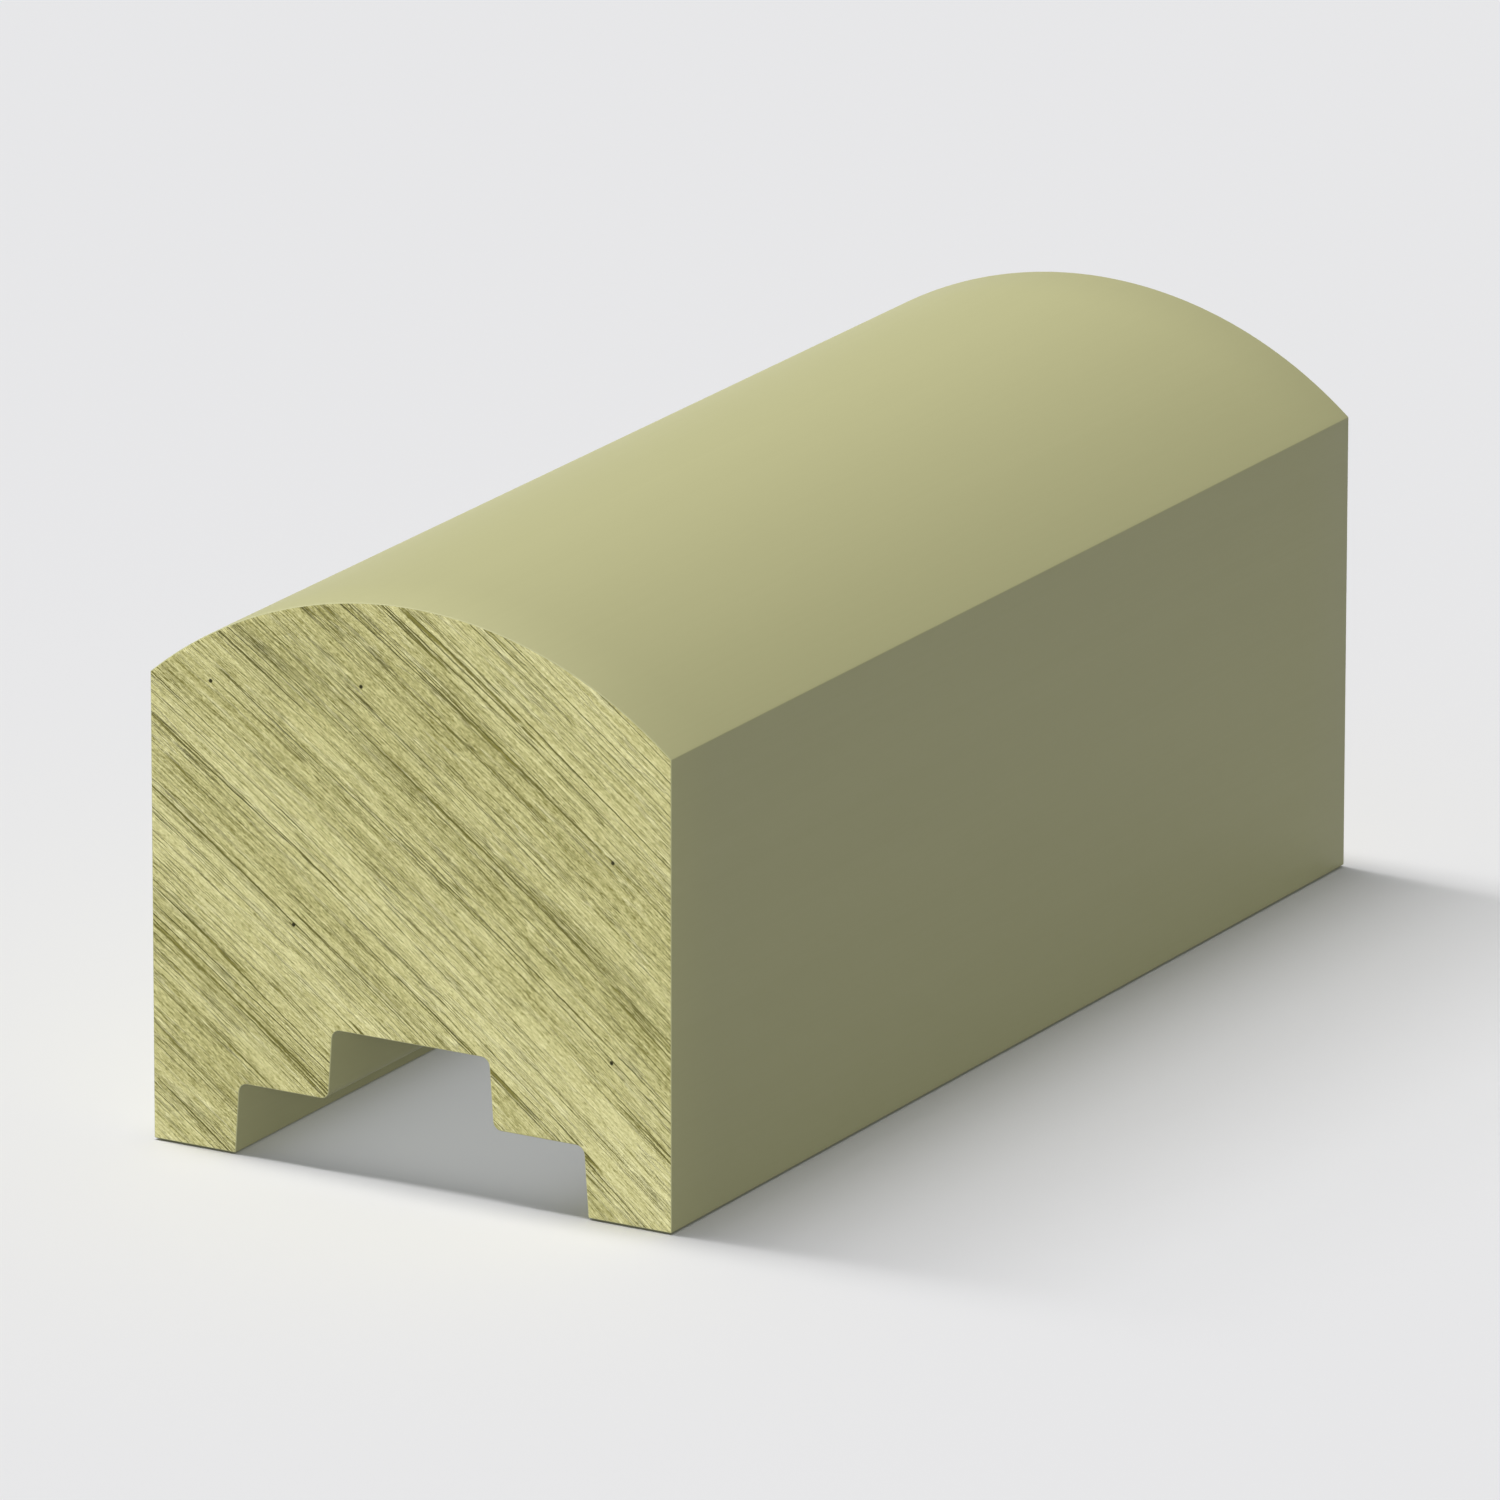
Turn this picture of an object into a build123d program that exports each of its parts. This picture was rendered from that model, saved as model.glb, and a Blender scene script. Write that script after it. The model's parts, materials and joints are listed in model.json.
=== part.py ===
from build123d import *

import math
import os

# A short length of domed softwood handrail, moulded from one piece of timber.
# The rail lies along Y. Its origin is on the floor, under the middle of the rail, and +Z is up.
# Every size is in millimetres.

# Outside of the moulding
rail_width = 65.0
rail_height = 65.0
dome_rise = 12.0
rail_length = 152.0

# Rebate along the underside, which takes the heads of square balusters
rebate_width = 43.2
rebate_depth = 8.0
rebate_corner_radius = 1.0

# Narrower groove above the rebate, which takes an infill strip
groove_width = 19.6
groove_depth = 8.0
groove_corner_radius = 1.0

# Shelf between the two: its free edge is rounded
shelf_edge_radius = 1.0

# The cutter's sides lean outwards, so both channels are wider at their mouths
wall_draft = 4.0

shelf_height = rebate_depth
roof_height = rebate_depth + groove_depth
side_height = rail_height - dome_rise


def moulding_blank():
    """The section before the channels are cut: a square-sided block under a shallow arc."""
    half = rail_width / 2
    crown = ThreePointArc((half, side_height), (0, rail_height), (-half, side_height))
    sides_and_base = Polyline((-half, side_height), (-half, 0), (half, 0), (half, side_height))
    return make_face(sides_and_base + crown)


def channel(top_width, mouth_height, top_height):
    """A channel's section, from its mouth up to its top, with walls that lean by the draft."""
    half_top = top_width / 2
    half_mouth = half_top + (top_height - mouth_height) * math.tan(math.radians(wall_draft))
    outline = Polyline(
        (-half_mouth, mouth_height),
        (half_mouth, mouth_height),
        (half_top, top_height),
        (-half_top, top_height),
        close=True,
    )
    return make_face(outline)


def corners_at(section, height, widest):
    """The pair of corners at one height, either the widest pair there or the narrowest."""
    level = section.vertices().filter_by(lambda corner: math.isclose(corner.Y, height, abs_tol=1e-6))
    ordered = sorted(level, key=lambda corner: abs(corner.X), reverse=widest)
    return ordered[:2]


def rail_section():
    """The finished section: the blank less both channels, with the cutter's rounded corners."""
    section = moulding_blank()
    section -= channel(rebate_width, 0, shelf_height)
    section -= channel(groove_width, shelf_height, roof_height)
    section = fillet(corners_at(section, shelf_height, widest=False), shelf_edge_radius)
    section = fillet(corners_at(section, shelf_height, widest=True), rebate_corner_radius)
    return fillet(corners_at(section, roof_height, widest=True), groove_corner_radius)


def handrail():
    """The section run along the whole length of the rail, half of it each side of the origin."""
    return extrude(Plane.XZ * rail_section(), amount=rail_length / 2, both=True)


os.makedirs("parts", exist_ok=True)
export_step(handrail(), "parts/handrail.step")
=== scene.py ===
"""A short length of domed, double-rebated handrail in pressure-treated pine, on a plain pale studio floor.

The rail is one piece of timber. The cutters left its long faces smooth and nearly plain. The saw left both
ends rough, with the growth rings crossing them as long slanting streaks. Lengths are in metres, apart from
the sizes of the grain and of the camera's lens and sensor, which are in millimetres.
"""

import json
import math

import bmesh
import bpy
from mathutils import Matrix, Vector
from mathutils.kdtree import KDTree


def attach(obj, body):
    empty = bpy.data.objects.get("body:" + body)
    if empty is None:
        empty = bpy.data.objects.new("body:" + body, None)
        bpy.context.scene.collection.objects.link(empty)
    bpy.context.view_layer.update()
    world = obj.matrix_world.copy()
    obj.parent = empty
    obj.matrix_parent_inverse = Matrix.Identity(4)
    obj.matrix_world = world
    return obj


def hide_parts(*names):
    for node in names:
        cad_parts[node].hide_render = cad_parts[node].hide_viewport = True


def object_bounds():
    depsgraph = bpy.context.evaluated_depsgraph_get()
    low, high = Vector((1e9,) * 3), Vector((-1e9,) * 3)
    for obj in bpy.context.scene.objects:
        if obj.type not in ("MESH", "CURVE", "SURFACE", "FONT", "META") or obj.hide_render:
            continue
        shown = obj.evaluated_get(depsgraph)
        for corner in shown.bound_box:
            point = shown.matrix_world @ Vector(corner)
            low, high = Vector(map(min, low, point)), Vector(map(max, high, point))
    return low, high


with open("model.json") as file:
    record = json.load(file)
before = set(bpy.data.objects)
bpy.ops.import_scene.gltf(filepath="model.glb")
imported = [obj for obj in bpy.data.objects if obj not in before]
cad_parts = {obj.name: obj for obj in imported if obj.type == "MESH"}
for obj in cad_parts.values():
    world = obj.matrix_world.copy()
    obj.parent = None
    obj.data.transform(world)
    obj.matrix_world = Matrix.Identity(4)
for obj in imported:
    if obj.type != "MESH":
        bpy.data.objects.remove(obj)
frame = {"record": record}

MM = 0.001

cad_low, cad_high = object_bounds()
mount_height = {mount["name"]: mount["pos_m"][2] for mount in frame["record"]["mounts"]}

# The rail's section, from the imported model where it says, and otherwise as the cutters are ground.
half_width = (cad_high.x - cad_low.x) / 2
half_length = (cad_high.y - cad_low.y) / 2
crown_height = cad_high.z
shelf_height = mount_height["baluster_shelf_right"]
ceiling_height = mount_height["groove_ceiling"]
dome_rise = 12 * MM
rebate_half_width = 21.6 * MM
groove_half_width = 9.8 * MM
wall_draft = math.radians(4)
channel_corner_radius = 1.0 * MM

# The arrises are only just broken, as sharp cutters and a sharp saw leave them.
moulded_arris = 0.15 * MM
sawn_arris = 0.10 * MM
arris_steps = 3

# Mesh spacing. Across the grain the ends are fine enough to carry the torn fibres as real relief.
outline_pitch = 0.35 * MM
row_pitch = 9.5 * MM
across_grain_pitch = 0.16 * MM
along_grain_pitch = 0.75 * MM

# A corner of the mesh that is nearer than this to a cut counts as on it.
cut_tolerance = 1e-8

# How deep the saw tore the fibres, where this begins inside the outline, and over how far it deepens.
torn_depth = 0.06 * MM
torn_start = 0.15 * MM
torn_fade = 0.3 * MM

# Low fibres and latewood are torn the most. Their summed level where tearing starts, and where it is full.
untorn_level, fully_torn_level = -0.5, 1

# The texture map: the long faces unrolled below, the two ends side by side above, with a margin between.
map_margin = 0.01
map_half = 0.5

# The growth rings cross the ends at this slope, bowed a little about a far-off pith, low on the left.
ring_slope = math.radians(-36.5)
ring_radius = 800 * MM
along_rings = Vector((math.cos(ring_slope), 0, math.sin(ring_slope)))
towards_bark = Vector((-along_rings.z, 0, along_rings.x))
section_middle = Vector((0, 0, crown_height / 2))

# The grain is measured from the pith, this far along the trunk, which settles where the streaks fall.
place_up_trunk = 1064 * MM
pith = section_middle - towards_bark * ring_radius + Vector((0, place_up_trunk, 0))

# Growth rings, in millimetres and in rings. A run of dry years lies close together above the middle.
usual_ring = 2.4
dry_years_start, dry_years_end = 6, 18
dry_years_extra_rings = 6

# The sizes of the grain's streaks, in millimetres across the rings, along them and along the rail.
season_bands = (8, 200, 900)
year_bands = (1.5, 60, 600)
fibre_bundles = (0.2, 14, 200)
torn_fibres = (0.14, 0.7, 40)
planed_fibres = (0.5, 0.5, 60)

# How the streaks break up into finer ones: how many times over, and how strongly each time.
whole = (0, 0.5)
gentle = (1, 0.5)
uneven = (2, 0.6)
dragged = (2, 0.7)
ragged = (1, 1)

# Every noise runs from 0 to 1 about this middle.
noise_middle = 0.5

# Thin lines: their sizes, and the patches in which they show. The edges of the rings are counted in rings.
ring_run = (1, 200, 900)
stain_patches = (1.8, 40, 400)
split_sizes = (0.6, 30, 200)
split_patches = (0.8, 20, 100)
raised_sizes = (1.1, 24, 200)
raised_patches = (0.9, 9, 100)
patch_faint, patch_full = 0.35, 0.6

# How near its middle the noise must be for each line, which sets how thick the line is.
latewood_width = 0.009
split_width = 0.018
raised_width = 0.02

# How far the saw dragged the fibres aside, and in patches of what size.
drag = 0.2
drag_sizes = (1.0, 2.0, 60)

# Resin canals, in millimetres, and how soft their edges are as a part of their size.
resin_canal_spacing = 25
resin_canal_size = 0.45
resin_canal_softness = 0.2

# The tones at which the timber reaches its darkest colour, its middle one and its palest.
dark_tone, middle_tone, pale_tone = -0.5, 0, 0.5

# What each part of the grain adds to the tone of the sawn ends, and to the height of their surface.
season_tone, year_tone = 0.7, 0.15
fibre_tone, torn_tone = 1.0, 1.4
latewood_tone, split_tone, raised_tone = 1.1, 0.6, 0.7
fibre_height, torn_height = 0.5, 0.5
latewood_height, split_height, raised_height = 1.0, 0.5, 0.7
sawn_bump = 0.2 * MM

# The same for the planed faces, which are far plainer and smoother.
planed_season_tone, planed_year_tone, planed_fibre_tone = 0.6, 0.6, 0.6
planed_bump = 0.01 * MM

# Colours of the timber. The treatment tints it green, and most deeply on the thirsty end grain.
planed_dark, planed_pale = "#AFAC7E", "#B3B082"
sawn_dark, sawn_middle, sawn_pale = "#8E8746", "#D6CE8F", "#F8F0B4"
resin_brown = "#3A371C"
paper_white = "#ECECEE"

# The Mix node's inputs and output for colours go by number, because it has others of the same names.
mix_from, mix_to, mix_result = 6, 7, 2

# The key lights, an arc of suns from overhead down to the left: azimuth, elevation and strength of each.
key_arc = (
    (-90, 90, 0.55),
    (-90, 82, 0.55),
    (-90, 74, 0.43),
    (-90, 66, 0.30),
    (-90, 58, 0.32),
    (-90, 50, 0.32),
    (-90, 40, 0.14),
)
key_width = 10

# The fills, low on the left, in front and behind, are suns too. They are flagged off the floor.
low_fills = ((-70, 20, 1.63), (-10, 10, 0.5), (25, 10, 1.56))
fill_width = 30
back_fill = (180, 4, 0.9)

# How strong the sky is as a light, and where it is seen.
sky_strength = 0.203
backdrop_strength = 0.807

# A strip light under the shelf, set in from its edges and its ends.
strip_power = 0.0084
strip_gap = 1 * MM
strip_ends = 1 * MM

# Colours of the light.
daylight = "#FFFEFD"
skylight = "#F9FDFF"
cool_white = "#F7FAFF"

# The paper runs far out of the picture. It lies a hair below the feet, which leaves a thin dark line there.
floor_reach = 40
floor_drop = 0.2 * MM

# The camera, from the picture: a long lens well back from the rail. Its angles are in degrees.
camera_azimuth = 29.952
camera_elevation = 17.116
camera_roll = 0.063
camera_distance = 2051.6 * MM
camera_slide = (-1.46 * MM, -3.47 * MM, 0)
camera_lens = 444.9
camera_sensor = 36


def section_corners():
    """The section's corners, each with the radius that rounds it, from the groove round by the right foot."""
    rebate_lean = shelf_height * math.tan(wall_draft)
    groove_lean = (ceiling_height - shelf_height) * math.tan(wall_draft)
    right = [
        (groove_half_width, ceiling_height, channel_corner_radius),
        (groove_half_width + groove_lean, shelf_height, channel_corner_radius),
        (rebate_half_width, shelf_height, channel_corner_radius),
        (rebate_half_width + rebate_lean, 0, moulded_arris),
        (half_width, 0, moulded_arris),
        (half_width, crown_height - dome_rise, moulded_arris),
    ]
    dome_radius = (half_width**2 + dome_rise**2) / (2 * dome_rise)
    dome_half_angle = math.asin(half_width / dome_radius)
    steps = round(dome_radius * dome_half_angle / outline_pitch)
    for step in range(1, steps):
        angle = dome_half_angle * (1 - step / steps)
        right.append((dome_radius * math.sin(angle), crown_height - dome_radius * (1 - math.cos(angle)), 0))
    left = [(-x, z, radius) for x, z, radius in reversed(right)]
    return [(0, ceiling_height, 0)] + right + [(0, crown_height, 0)] + left


def section_outline():
    """The closed outline as evenly spaced points, with each rounded corner turned through an arc."""
    corners = section_corners()
    turned = []
    for index, (x, z, radius) in enumerate(corners):
        corner = Vector((x, z))
        if not radius:
            turned.append(corner)
            continue
        before = (Vector(corners[index - 1][:2]) - corner).normalized()
        after = (Vector(corners[(index + 1) % len(corners)][:2]) - corner).normalized()
        half_angle = before.angle(after) / 2
        middle = corner + (before + after).normalized() * radius / math.sin(half_angle)
        first = corner + before * radius / math.tan(half_angle) - middle
        sweep = math.pi - 2 * half_angle
        if before.cross(after) > 0:
            sweep = -sweep
        steps = max(arris_steps, round(abs(sweep) * radius / outline_pitch))
        for step in range(steps + 1):
            turned.append(middle + Matrix.Rotation(sweep * step / steps, 2) @ first)
    spaced = []
    for start, finish in zip(turned, turned[1:] + turned[:1]):
        pieces = max(1, round((finish - start).length / outline_pitch))
        spaced += [start.lerp(finish, piece / pieces) for piece in range(pieces)]
    return spaced


def inward_normals(outline):
    """The direction into the timber at each point of the outline."""
    normals = []
    for index, point in enumerate(outline):
        along = (outline[(index + 1) % len(outline)] - outline[index - 1]).normalized()
        normals.append(Vector((-along.y, along.x)))
    return normals


def evenly(low, high, pitch):
    """Values between two limits, about a pitch apart."""
    count = max(1, round((high - low) / pitch))
    return [low + (high - low) * step / count for step in range(1, count)]


def rail_rows():
    """How far along the rail each row of the skin lies, and how far it is drawn in to turn the arris."""
    front = []
    for step in range(arris_steps + 1):
        turn = math.pi / 2 * step / arris_steps
        front.append((-half_length + sawn_arris * (1 - math.cos(turn)), sawn_arris * (1 - math.sin(turn))))
    back = [(-y, setback) for y, setback in reversed(front)]
    plain = [(y, 0) for y in evenly(front[-1][0], back[0][0], row_pitch)]
    return front + plain + back


def on_skin_map(part_round, y):
    """A place on the long faces, unrolled into the lower half of the texture map."""
    part_along = (y + half_length) / (2 * half_length)
    width, height = 1 - 2 * map_margin, map_half - 2 * map_margin
    return (map_margin + width * part_round, map_margin + height * part_along)


def on_end_map(place):
    """A place on an end, in the upper half of the texture map, with the front end left of the back one."""
    part_across, part_up = place.x / (2 * half_width), place.z / crown_height
    size = map_half - 2 * map_margin
    if place.y < 0:
        return (map_half / 2 + size * part_across, map_half + map_margin + size * part_up)
    return (map_half * 3 / 2 - size * part_across, map_half + map_margin + size * part_up)


def cut_across(mesh, faces, direction, offsets):
    """Cuts flat faces by parallel planes at these offsets along a direction, halving the job each time."""
    if not offsets or not faces:
        return faces
    middle = len(offsets) // 2
    parts = set(faces)
    for face in faces:
        parts.update(face.edges)
        parts.update(face.verts)
    plane = {"plane_co": direction * offsets[middle], "plane_no": direction}
    cut = bmesh.ops.bisect_plane(mesh, geom=list(parts), dist=cut_tolerance, **plane)
    low, high = [], []
    for face in (part for part in cut["geom"] if isinstance(part, bmesh.types.BMFace)):
        beyond = face.calc_center_median().dot(direction) > offsets[middle]
        (high if beyond else low).append(face)
    low = cut_across(mesh, low, direction, offsets[:middle])
    high = cut_across(mesh, high, direction, offsets[middle + 1 :])
    return low + high


def make_skin(mesh, outline, unwrapped):
    """The long faces and both ends' arrises. Gives the loop of corners at the front and that at the back."""
    normals = inward_normals(outline)
    rows = rail_rows()
    hoops = []
    for y, setback in rows:
        drawn = [point + normal * setback for point, normal in zip(outline, normals)]
        hoops.append([mesh.verts.new((point.x, y, point.y)) for point in drawn])
    for row in range(len(rows) - 1):
        near, far = hoops[row], hoops[row + 1]
        for column in range(len(outline)):
            following = (column + 1) % len(outline)
            face = mesh.faces.new((near[column], far[column], far[following], near[following]))
            face.smooth = True
            corners = ((column, row), (column, row + 1), (column + 1, row + 1), (column + 1, row))
            for loop, (place, which) in zip(face.loops, corners):
                loop[unwrapped].uv = on_skin_map(place / len(outline), rows[which][0])
    return hoops[0], hoops[-1]


def make_ends(mesh, outline, front, back, unwrapped, torn):
    """The sawn ends, cut up across and along the rings, each corner marked for how far the saw tore it."""
    faces = [mesh.faces.new(front), mesh.faces.new(reversed(back))]
    for direction, pitch in ((towards_bark, across_grain_pitch), (along_rings, along_grain_pitch)):
        reach = [Vector((point.x, 0, point.y)).dot(direction) for point in outline]
        faces = cut_across(mesh, faces, direction, evenly(min(reach), max(reach), pitch))
    rim = KDTree(len(outline))
    for index, point in enumerate(outline):
        rim.insert((point.x, 0, point.y), index)
    rim.balance()
    for face in faces:
        face.smooth = True
        face.material_index = 1
        for loop in face.loops:
            loop[unwrapped].uv = on_end_map(loop.vert.co)
        for vertex in face.verts:
            _, _, distance = rim.find((vertex.co.x, 0, vertex.co.z))
            vertex[torn] = min(1, max(0, distance - torn_start) / torn_fade)


def make_rail():
    """One closed mesh: the moulded skin with an arris round each end, and the two sawn ends."""
    outline = section_outline()
    mesh = bmesh.new()
    unwrapped = mesh.loops.layers.uv.new("OFBake")
    torn = mesh.verts.layers.float.new("torn")
    front, back = make_skin(mesh, outline, unwrapped)
    make_ends(mesh, outline, front, back, unwrapped, torn)
    data = bpy.data.meshes.new("treated_pine_rail")
    mesh.to_mesh(data)
    mesh.free()
    rail = bpy.data.objects.new("treated_pine_rail", data)
    bpy.context.scene.collection.objects.link(rail)
    return rail


def add(tree, kind, inputs=None, **settings):
    """Adds a node to a tree, with its settings, and with values or other nodes' sockets for its inputs.

    Inputs go by their names, or by number where several of a node's inputs share one name.
    """
    node = tree.nodes.new(kind)
    for name, value in settings.items():
        setattr(node, name, value)
    for name, value in (inputs or {}).items():
        if isinstance(value, bpy.types.NodeSocket):
            tree.links.new(value, node.inputs[name])
        else:
            node.inputs[name].default_value = value
    return node


def grain_place(tree, place):
    """A place in the rail as millimetres across the growth rings, along them, and along the trunk."""
    from_pith = add(tree, "ShaderNodeVectorMath", {0: place, 1: pith}, operation="SUBTRACT").outputs[0]
    flat = add(tree, "ShaderNodeVectorMath", {0: from_pith, 1: (1, 0, 1)}, operation="MULTIPLY").outputs[0]
    radius = add(tree, "ShaderNodeVectorMath", {0: flat}, operation="LENGTH").outputs["Value"]
    across = add(tree, "ShaderNodeMath", {0: radius, 1: ring_radius}, operation="SUBTRACT").outputs[0]
    slope = {0: from_pith, 1: along_rings}
    along = add(tree, "ShaderNodeVectorMath", slope, operation="DOT_PRODUCT").outputs["Value"]
    lengthwise = add(tree, "ShaderNodeSeparateXYZ", {"Vector": from_pith}).outputs["Y"]
    grain = add(tree, "ShaderNodeCombineXYZ", {"X": across, "Y": along, "Z": lengthwise}).outputs[0]
    return add(tree, "ShaderNodeVectorMath", {0: grain, "Scale": 1 / MM}, operation="SCALE").outputs[0]


def streaks(tree, grain, sizes, breaks):
    """Noise from 0 to 1 in streaks of these sizes across the rings, along them and along the rail."""
    detail, roughness = breaks
    fit = [1 / size for size in sizes]
    place = add(tree, "ShaderNodeVectorMath", {0: grain, 1: fit}, operation="MULTIPLY").outputs[0]
    inputs = {"Vector": place, "Scale": 1, "Detail": detail, "Roughness": roughness}
    return add(tree, "ShaderNodeTexNoise", inputs).outputs[0]


def sawn_place(tree, place):
    """A place in the grain of the sawn ends, moved across the rings where the teeth dragged the fibres."""
    grain = grain_place(tree, place)
    noise = streaks(tree, grain, drag_sizes, dragged)
    limits = {"Value": noise, "To Min": -drag / 2, "To Max": drag / 2}
    aside = add(tree, "ShaderNodeMapRange", limits).outputs[0]
    across = add(tree, "ShaderNodeCombineXYZ", {"X": aside}).outputs[0]
    return add(tree, "ShaderNodeVectorMath", {0: grain, 1: across}, operation="ADD").outputs[0]


def thin_lines(tree, place, sizes, width, patches):
    """Thin lines from 0 to 1 where drawn-out noise crosses its middle, which fade in and out in patches."""
    noise = streaks(tree, place, sizes, uneven)
    apart = add(tree, "ShaderNodeMath", {0: noise, 1: noise_middle}, operation="SUBTRACT").outputs[0]
    distance = add(tree, "ShaderNodeMath", {0: apart}, operation="ABSOLUTE").outputs[0]
    nearness = {"Value": distance, "From Max": width, "To Min": 1, "To Max": 0}
    line = add(tree, "ShaderNodeMapRange", nearness).outputs[0]
    noise = streaks(tree, place, patches, gentle)
    patchy = {"Value": noise, "From Min": patch_faint, "From Max": patch_full}
    strength = add(tree, "ShaderNodeMapRange", patchy).outputs[0]
    return add(tree, "ShaderNodeMath", {0: line, 1: strength}, operation="MULTIPLY").outputs[0]


def latewood(tree, grain):
    """The hard dark edges of the growth rings, crowded together in the dry years."""
    parts = add(tree, "ShaderNodeSeparateXYZ", {"Vector": grain}).outputs
    dry_years = {"Value": parts["X"], "From Min": dry_years_start, "From Max": dry_years_end}
    crowded = {**dry_years, "To Max": dry_years_extra_rings}
    extra = add(tree, "ShaderNodeMapRange", crowded, interpolation_type="SMOOTHSTEP").outputs[0]
    rings = {0: parts["X"], 1: 1 / usual_ring, 2: extra}
    count = add(tree, "ShaderNodeMath", rings, operation="MULTIPLY_ADD").outputs[0]
    place = add(tree, "ShaderNodeCombineXYZ", {"X": count, "Y": parts["Y"], "Z": parts["Z"]}).outputs[0]
    return thin_lines(tree, place, ring_run, latewood_width, stain_patches)


def resin_specks(tree, grain):
    """Specks of dark resin, from 0 to 1: the cut ends of a few canals that run the length of the rail."""
    closer = {0: grain, "Scale": 1 / resin_canal_spacing}
    place = add(tree, "ShaderNodeVectorMath", closer, operation="SCALE").outputs[0]
    cells = {"Vector": place, "Scale": 1, "Randomness": 1}
    distance = add(tree, "ShaderNodeTexVoronoi", cells, voronoi_dimensions="2D").outputs["Distance"]
    radius = resin_canal_size / 2 / resin_canal_spacing
    inner, outer = radius * (1 - resin_canal_softness), radius * (1 + resin_canal_softness)
    nearness = {"Value": distance, "From Min": inner, "From Max": outer, "To Min": 1, "To Max": 0}
    return add(tree, "ShaderNodeMapRange", nearness).outputs[0]


def weighed(tree, parts):
    """The sum of patterns about their middle value, each times its weight."""
    total = 0.0
    for pattern, weight in parts:
        middled = add(tree, "ShaderNodeMath", {0: pattern, 1: noise_middle}, operation="SUBTRACT").outputs[0]
        part = {0: middled, 1: weight, 2: total}
        total = add(tree, "ShaderNodeMath", part, operation="MULTIPLY_ADD").outputs[0]
    return total


def linear(colour):
    """An sRGB hex colour as the linear red, green, blue and alpha that nodes take."""
    parts = [int(colour[start : start + 2], 16) / 255 for start in (1, 3, 5)]
    return [part / 12.92 if part <= 0.04045 else ((part + 0.055) / 1.055) ** 2.4 for part in parts] + [1]


def new_material(name, **values):
    """An empty material with these values on its surface shader: the material, its tree and the shader."""
    material = bpy.data.materials.new(name)
    material.use_nodes = True
    tree = material.node_tree
    tree.nodes.clear()
    inputs = {key.replace("_", " "): value for key, value in values.items()}
    shader = add(tree, "ShaderNodeBsdfPrincipled", inputs)
    add(tree, "ShaderNodeOutputMaterial", {"Surface": shader.outputs[0]})
    return material, tree, shader


def planed_treated_pine():
    """The long faces: pressure-treated pine, shaped on a moulder.

    Sharp cutters shave the fibres clean, so the eye sees a smooth face with a low, even sheen and no figure
    but a faint, long grain, and the salts in the timber turn it a dull grey green.
    """
    material, tree, shader = new_material("planed_treated_pine", Roughness=0.5, IOR=1.5)
    grain = grain_place(tree, add(tree, "ShaderNodeTexCoord").outputs["Object"])
    # Real fibres are some 0.04 mm thick. They are drawn in bundles of half a millimetre, or none would show.
    fibres = streaks(tree, grain, planed_fibres, uneven)
    tone = weighed(tree, [
        (streaks(tree, grain, season_bands, whole), planed_season_tone),
        (streaks(tree, grain, year_bands, uneven), planed_year_tone),
        (fibres, planed_fibre_tone),
    ])
    limits = {"Value": tone, "From Min": dark_tone, "From Max": pale_tone}
    level = add(tree, "ShaderNodeMapRange", limits).outputs[0]
    colours = {"Factor": level, mix_from: linear(planed_dark), mix_to: linear(planed_pale)}
    timber = add(tree, "ShaderNodeMix", colours, data_type="RGBA").outputs[mix_result]
    tree.links.new(timber, shader.inputs["Base Color"])
    bump = add(tree, "ShaderNodeBump", {"Height": fibres, "Distance": planed_bump}).outputs[0]
    tree.links.new(bump, shader.inputs["Normal"])
    return material


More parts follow.
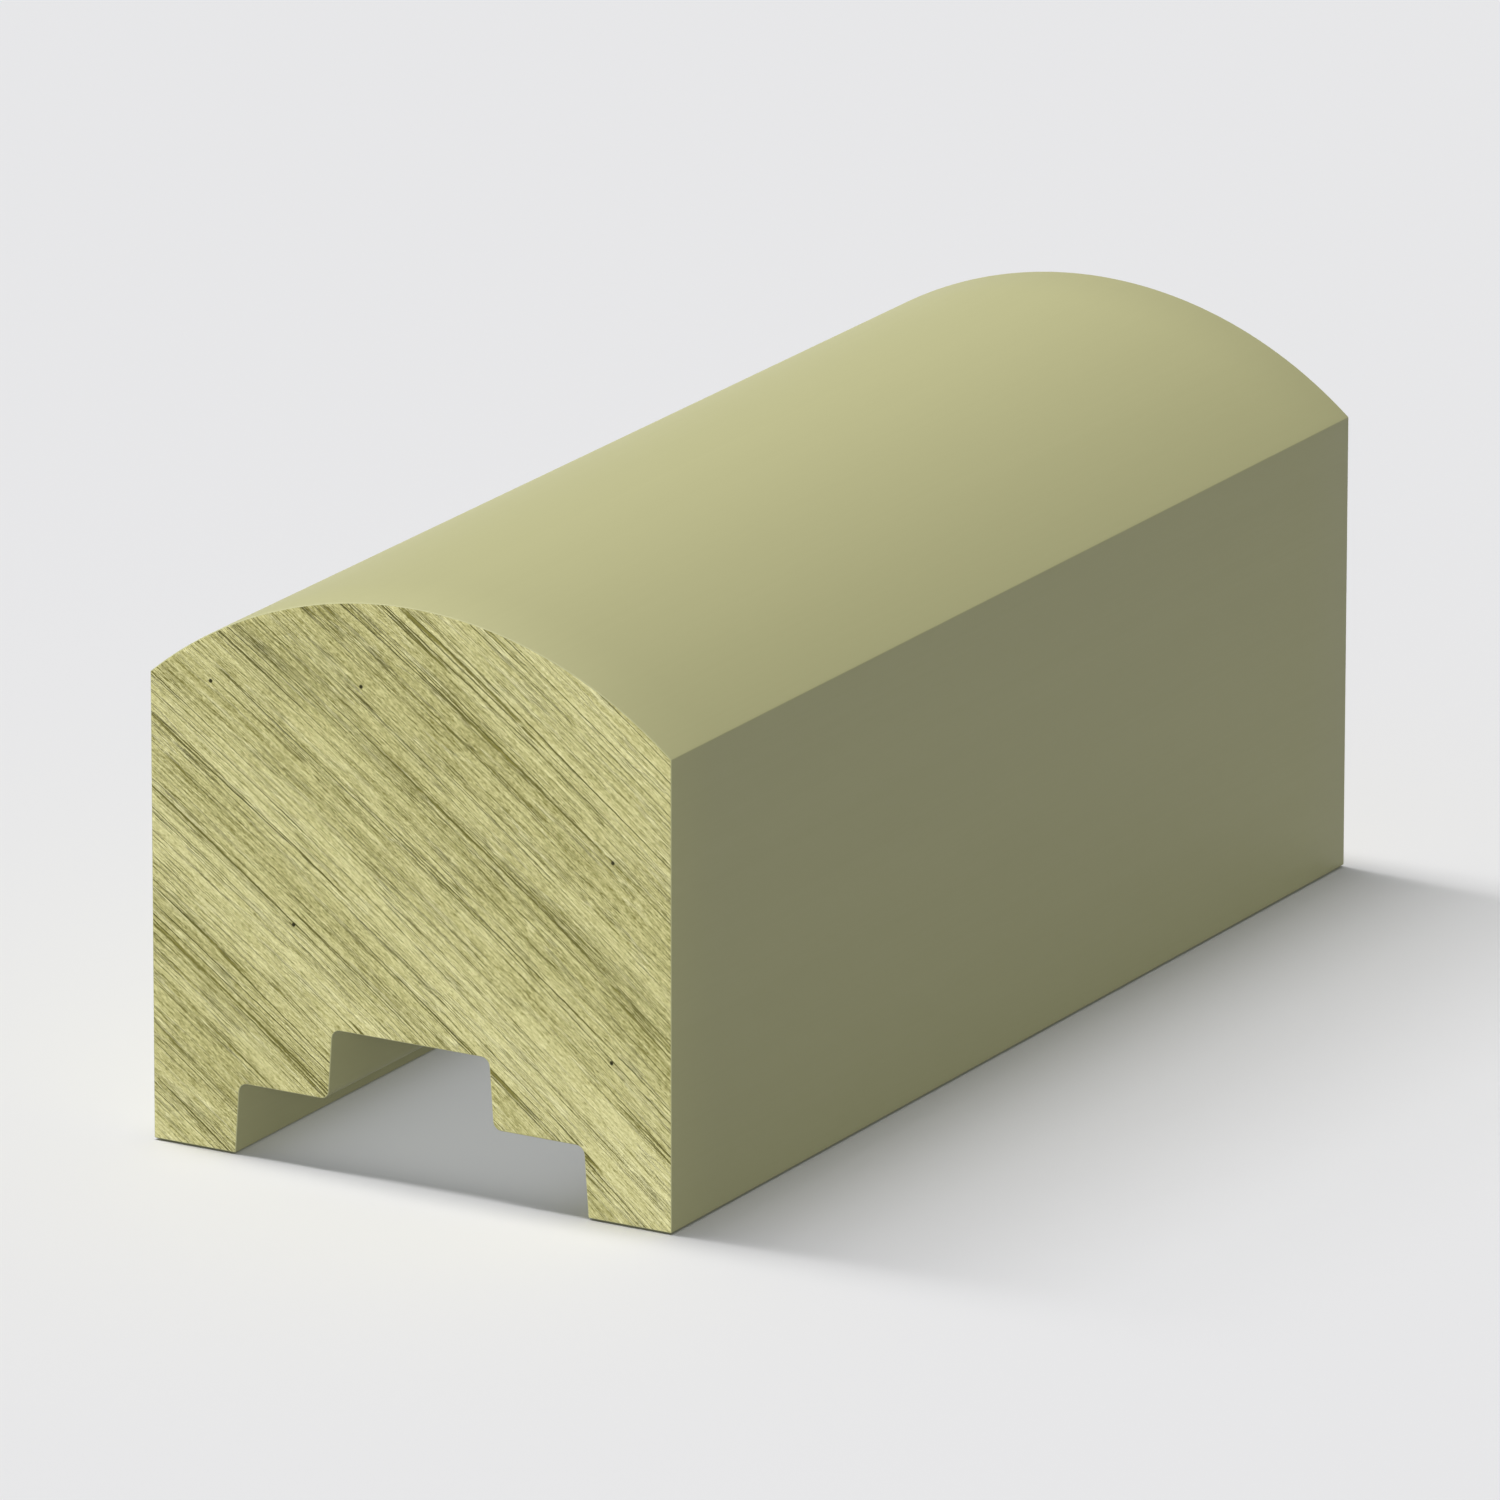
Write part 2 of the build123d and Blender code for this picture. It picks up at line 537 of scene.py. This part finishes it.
def sawn_treated_pine():
    """The ends: pressure-treated pine, cut across by a circular saw and left as it came off the blade.

    The teeth tear the fibres, so the eye sees a dull, furry face with no gloss, made of short flecks of
    light and shade. The open grain drinks the most salts and looks a yellower green, crossed by the thin
    dark edges of the rings, by splits and by raised slivers, and dotted with resin.
    """
    finish = {"Roughness": 0.9, "IOR": 1.5, "Specular_IOR_Level": 0.2}
    material, tree, shader = new_material("sawn_treated_pine", **finish)
    grain = sawn_place(tree, add(tree, "ShaderNodeTexCoord").outputs["Object"])
    # Torn fibres are finer than this in the timber. They are drawn as coarse as they must be to show.
    fibres = streaks(tree, grain, fibre_bundles, ragged)
    torn = streaks(tree, grain, torn_fibres, ragged)
    tone = weighed(tree, [
        (streaks(tree, grain, season_bands, gentle), season_tone),
        (streaks(tree, grain, year_bands, uneven), year_tone),
        (fibres, fibre_tone),
        (torn, torn_tone),
    ])
    height = weighed(tree, [(fibres, fibre_height), (torn, torn_height)])
    splits = thin_lines(tree, grain, split_sizes, split_width, split_patches)
    slivers = thin_lines(tree, grain, raised_sizes, raised_width, raised_patches)
    marks = [
        (latewood(tree, grain), -latewood_tone, -latewood_height),
        (splits, -split_tone, -split_height),
        (slivers, raised_tone, raised_height),
    ]
    for mark, paler, higher in marks:
        toned = {0: mark, 1: paler, 2: tone}
        tone = add(tree, "ShaderNodeMath", toned, operation="MULTIPLY_ADD").outputs[0]
        lifted = {0: mark, 1: higher, 2: height}
        height = add(tree, "ShaderNodeMath", lifted, operation="MULTIPLY_ADD").outputs[0]
    timber = linear(sawn_dark)
    for low, high, colour in ((dark_tone, middle_tone, sawn_middle), (middle_tone, pale_tone, sawn_pale)):
        limits = {"Value": tone, "From Min": low, "From Max": high}
        level = add(tree, "ShaderNodeMapRange", limits).outputs[0]
        colours = {"Factor": level, mix_from: timber, mix_to: linear(colour)}
        timber = add(tree, "ShaderNodeMix", colours, data_type="RGBA").outputs[mix_result]
    resin = {"Factor": resin_specks(tree, grain), mix_from: timber, mix_to: linear(resin_brown)}
    specked = add(tree, "ShaderNodeMix", resin, data_type="RGBA").outputs[mix_result]
    tree.links.new(specked, shader.inputs["Base Color"])
    bump = add(tree, "ShaderNodeBump", {"Height": height, "Distance": sawn_bump}).outputs[0]
    tree.links.new(bump, shader.inputs["Normal"])
    return material


def matte_paper():
    """The floor: matte white paper off a wide roll.

    Its loose, uncoated fibres scatter light evenly, so the eye sees no gloss or grain, only the soft shadow.
    """
    finish = {"Base_Color": linear(paper_white), "Roughness": 1, "IOR": 1.5, "Specular_IOR_Level": 0}
    return new_material("matte_paper", **finish)[0]


def tear_ends(rail):
    """Gives the sawn ends their real relief, torn below the plane of the end and never above it."""
    tree = bpy.data.node_groups.new("torn_fibres", "GeometryNodeTree")
    tree.interface.new_socket("Rail", in_out="INPUT", socket_type="NodeSocketGeometry")
    tree.interface.new_socket("Rail", in_out="OUTPUT", socket_type="NodeSocketGeometry")
    plain = add(tree, "NodeGroupInput").outputs[0]
    grain = sawn_place(tree, add(tree, "GeometryNodeInputPosition").outputs[0])
    fibres = streaks(tree, grain, fibre_bundles, ragged)
    level = weighed(tree, [(fibres, -1), (latewood(tree, grain), 1)])
    limits = {"Value": level, "From Min": untorn_level, "From Max": fully_torn_level}
    tear = add(tree, "ShaderNodeMapRange", {**limits, "To Min": 0, "To Max": -torn_depth}).outputs[0]
    torn = add(tree, "GeometryNodeInputNamedAttribute", {"Name": "torn"}, data_type="FLOAT").outputs[0]
    faded = add(tree, "ShaderNodeMath", {0: tear, 1: torn}, operation="MULTIPLY").outputs[0]
    outward = add(tree, "GeometryNodeInputNormal").outputs[0]
    inward = add(tree, "ShaderNodeVectorMath", {0: outward, "Scale": faded}, operation="SCALE").outputs[0]
    carved = add(tree, "GeometryNodeSetPosition", {"Geometry": plain, "Offset": inward}).outputs[0]
    add(tree, "NodeGroupOutput", {0: carved})
    rail.modifiers.new("torn_fibres", "NODES").node_group = tree


def from_angles(azimuth, elevation):
    """A direction from the rail: degrees round from its front towards its right, and degrees upwards."""
    turn, tilt = math.radians(azimuth), math.radians(elevation)
    return Vector((math.sin(turn) * math.cos(tilt), -math.cos(turn) * math.cos(tilt), math.sin(tilt)))


def make_camera():
    """A long lens well back from the rail, turned and raised as in the photograph."""
    back = from_angles(camera_azimuth, camera_elevation)
    roll = Matrix.Rotation(math.radians(camera_roll), 3, "Z")
    turn = back.to_track_quat("Z", "Y").to_matrix() @ roll
    camera = bpy.data.objects.new("camera", bpy.data.cameras.new("camera"))
    camera.data.lens = camera_lens
    camera.data.sensor_width = camera_sensor
    camera.location = section_middle + back * camera_distance + turn @ Vector(camera_slide)
    camera.rotation_euler = turn.to_euler()
    bpy.context.scene.collection.objects.link(camera)
    bpy.context.scene.camera = camera


def make_floor():
    """The paper under the rail. It gives no light back, so the rail's sides are lit evenly."""
    corners = [(-1, -1), (1, -1), (1, 1), (-1, 1)]
    spread = [(x * floor_reach, y * floor_reach, -floor_drop) for x, y in corners]
    mesh = bpy.data.meshes.new("studio_floor")
    mesh.from_pydata(spread, [], [(0, 1, 2, 3)])
    mesh.materials.append(matte_paper())
    floor = bpy.data.objects.new("studio_floor", mesh)
    floor.visible_diffuse = False
    bpy.context.scene.collection.objects.link(floor)
    return floor


def only(thing):
    """A collection of one thing, for a light that is flagged off everything else."""
    alone = bpy.data.collections.new("only_" + thing.name)
    alone.objects.link(thing)
    return alone


def add_light(name, kind, energy, colour, reaches=None, **settings):
    """A light, on everything or only on what it reaches."""
    light = bpy.data.objects.new(name, bpy.data.lights.new(name, kind))
    light.data.energy = energy
    light.data.color = linear(colour)[:3]
    for setting, value in settings.items():
        setattr(light.data, setting, value)
    if reaches:
        light.light_linking.receiver_collection = reaches
    bpy.context.scene.collection.objects.link(light)
    return light


def add_sun(place, width, colour, reaches=None):
    """A sun of this width in degrees, placed by its azimuth, elevation and strength."""
    azimuth, elevation, strength = place
    sun = add_light("studio_sun", "SUN", strength, colour, reaches, angle=math.radians(width))
    sun.rotation_euler = from_angles(azimuth, elevation).to_track_quat("Z", "Y").to_euler()
    return sun


def make_suns(rail):
    """The key lights, which cast the shadow, and the fills, which reach the rail alone."""
    for place in key_arc:
        add_sun(place, key_width, daylight)
    for place in low_fills:
        add_sun(place, fill_width, skylight, only(rail))
    # The sun behind only opens up the back end, without a glare along the dome.
    add_sun(back_fill, key_width, skylight, only(rail)).visible_glossy = False


def light_groove(floor):
    """A hidden strip over the floor in the groove, which is no darker in the photograph than the shadow."""
    wide, long = 2 * (rebate_half_width - strip_gap), 2 * (half_length - strip_ends)
    size = {"shape": "RECTANGLE", "size": wide, "size_y": long}
    strip = add_light("groove_strip", "AREA", strip_power, cool_white, only(floor), **size)
    strip.location.z = shelf_height - strip_gap
    strip.visible_camera = False


def make_sky():
    """An even sky, a weak light in itself, that is as pale as the floor where it is seen."""
    sky = bpy.data.worlds.new("studio_sky")
    sky.use_nodes = True
    sky.node_tree.nodes.clear()
    seen = add(sky.node_tree, "ShaderNodeLightPath").outputs["Is Camera Ray"]
    levels = {"Value": seen, "To Min": sky_strength, "To Max": backdrop_strength}
    strength = add(sky.node_tree, "ShaderNodeMapRange", levels).outputs[0]
    even = {"Color": linear(skylight), "Strength": strength}
    light = add(sky.node_tree, "ShaderNodeBackground", even).outputs[0]
    add(sky.node_tree, "ShaderNodeOutputWorld", {"Surface": light})
    bpy.context.scene.world = sky


rail = make_rail()
rail.data.materials.append(planed_treated_pine())
rail.data.materials.append(sawn_treated_pine())
tear_ends(rail)
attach(rail, "root")
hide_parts("handrail")
make_camera()
floor = make_floor()
make_suns(rail)
light_groove(floor)
make_sky()
bpy.context.scene.view_settings.view_transform = "Standard"
